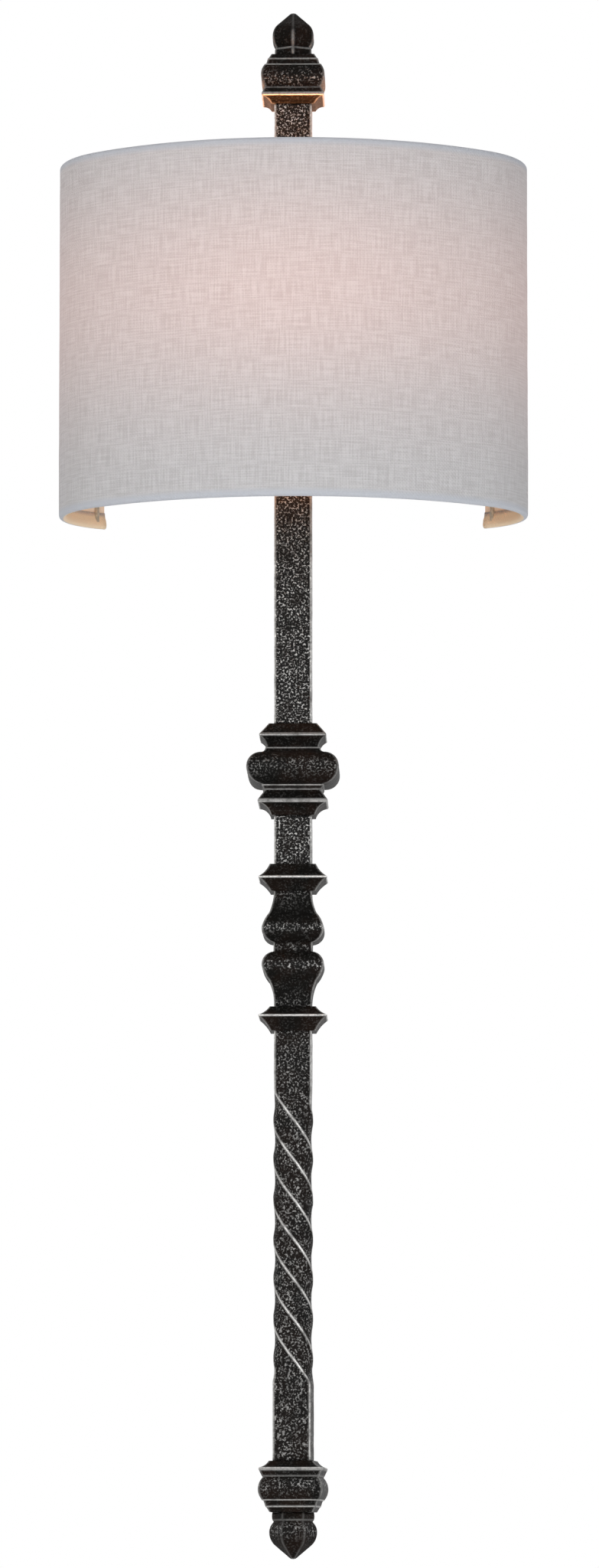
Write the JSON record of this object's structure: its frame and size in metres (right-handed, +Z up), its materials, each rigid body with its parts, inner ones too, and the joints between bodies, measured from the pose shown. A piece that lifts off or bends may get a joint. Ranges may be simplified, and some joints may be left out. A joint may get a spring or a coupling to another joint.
{
  "type": "torch sconce",
  "caption": "Upright wall light: a forged square bar with knops, collars, a double knuckle and a twist, behind a half-oval linen shade over candelabra lamps.",
  "frame": {"origin": "centre of the wall box mount, on the wall plane behind the shade", "axes": "+Z up along the bar, +Y into the wall, -Y into the room, +X to the right seen from the room"},
  "size_m": [0.257, 0.133, 0.8473],
  "materials": {
    "rubbed_iron": "forged square iron, charcoal, with rubbed silvery edges",
    "zinc_steel": "zinc plated steel",
    "dark_steel": "dark bronze painted steel",
    "green_steel": "green ground screw",
    "brass": "plain brass",
    "phenolic": "black moulded insulator",
    "sleeve_white": "off-white card sleeve",
    "bulb_glass": "frosted bulb glass",
    "filament": "stem and glowing filament",
    "linen": "coarse natural linen over a pale lining",
    "lining": "translucent shade lining",
    "frame_wire": "pale painted frame wire",
    "pad_rubber": "soft rubber pad"
  },
  "bodies": {
    "sconce": {"arm_lock_nuts": "zinc_steel", "arm_pipe": "zinc_steel", "arm_spacer": "dark_steel", "big_knop": "rubbed_iron", "big_knop_stud": "zinc_steel", "candle_sleeve_left": "sleeve_white", "candle_sleeve_right": "sleeve_white", "canopy": "dark_steel", "canopy_studs": "zinc_steel", "centre_contact_left": "brass", "centre_contact_right": "brass", "collar_set_screws": "dark_steel", "crossbar": "zinc_steel", "double_knuckle": "rubbed_iron", "end_studs": "zinc_steel", "ground_screw": "green_steel", "joint_studs": "zinc_steel", "lampholder_left": "phenolic", "lampholder_right": "phenolic", "lower_collar": "rubbed_iron", "lower_knop": "rubbed_iron", "middle_bar": "rubbed_iron", "screw_shell_left": "brass", "screw_shell_right": "brass", "shade_arm": "dark_steel", "shade_arm_screws": "dark_steel", "socket_bracket": "dark_steel", "socket_nipples": "zinc_steel", "socket_nuts": "zinc_steel", "spacer_pad": "pad_rubber", "spacer_screw": "zinc_steel", "twisted_bar": "rubbed_iron", "upper_bar": "rubbed_iron", "upper_collar": "rubbed_iron", "upper_knop": "rubbed_iron", "wall_spacer": "dark_steel"},
    "upper_finial": {"upper_finial": "rubbed_iron"},
    "lower_finial": {"lower_finial": "rubbed_iron"},
    "bulb_left": {"bulb_cap_left": "brass", "bulb_glass_left": "bulb_glass", "bulb_filament_left": "filament"},
    "bulb_right": {"bulb_cap_right": "brass", "bulb_glass_right": "bulb_glass", "bulb_filament_right": "filament"},
    "shade": {"shade_cover": "linen", "shade_lining": "lining", "shade_bottom_ring": "frame_wire", "shade_top_ring": "frame_wire", "shade_stays": "frame_wire", "shade_hooks": "frame_wire"},
    "thumb_screw_left": {"thumb_screw_left": "brass"},
    "thumb_screw_right": {"thumb_screw_right": "brass"},
    "cap_nut_left": {"cap_nut_left": "dark_steel"},
    "cap_nut_right": {"cap_nut_right": "dark_steel"}
  },
  "joints": [
    {"name": "upper_finial_turn", "type": "hinge", "parent": "sconce", "child": "upper_finial", "pos_m": [0, -0.05, 0.1663], "axis": [0, 0, 1], "continuous": true},
    {"name": "lower_finial_turn", "type": "hinge", "parent": "sconce", "child": "lower_finial", "pos_m": [0, -0.05, -0.6308], "axis": [0, 0, 1], "continuous": true},
    {"name": "bulb_left_turn", "type": "hinge", "parent": "sconce", "child": "bulb_left", "pos_m": [-0.045, -0.076, -0.03], "axis": [0, 0, 1], "continuous": true},
    {"name": "bulb_right_turn", "type": "hinge", "parent": "sconce", "child": "bulb_right", "pos_m": [0.045, -0.076, -0.03], "axis": [0, 0, 1], "continuous": true},
    {"name": "shade_lift", "type": "slide", "parent": "sconce", "child": "shade", "axis": [0, 0, 1], "range_m": [0, 0.3]},
    {"name": "thumb_screw_left_turn", "type": "hinge", "parent": "sconce", "child": "thumb_screw_left", "pos_m": [-0.088, -0.026, 0.045], "axis": [1, 0, 0], "continuous": true},
    {"name": "thumb_screw_right_turn", "type": "hinge", "parent": "sconce", "child": "thumb_screw_right", "pos_m": [0.088, -0.026, 0.045], "axis": [1, 0, 0], "continuous": true},
    {"name": "cap_nut_left_turn", "type": "hinge", "parent": "sconce", "child": "cap_nut_left", "pos_m": [-0.03, -0.022, 0], "axis": [0, 1, 0], "continuous": true},
    {"name": "cap_nut_right_turn", "type": "hinge", "parent": "sconce", "child": "cap_nut_right", "pos_m": [0.03, -0.022, 0], "axis": [0, 1, 0], "continuous": true}
  ]
}
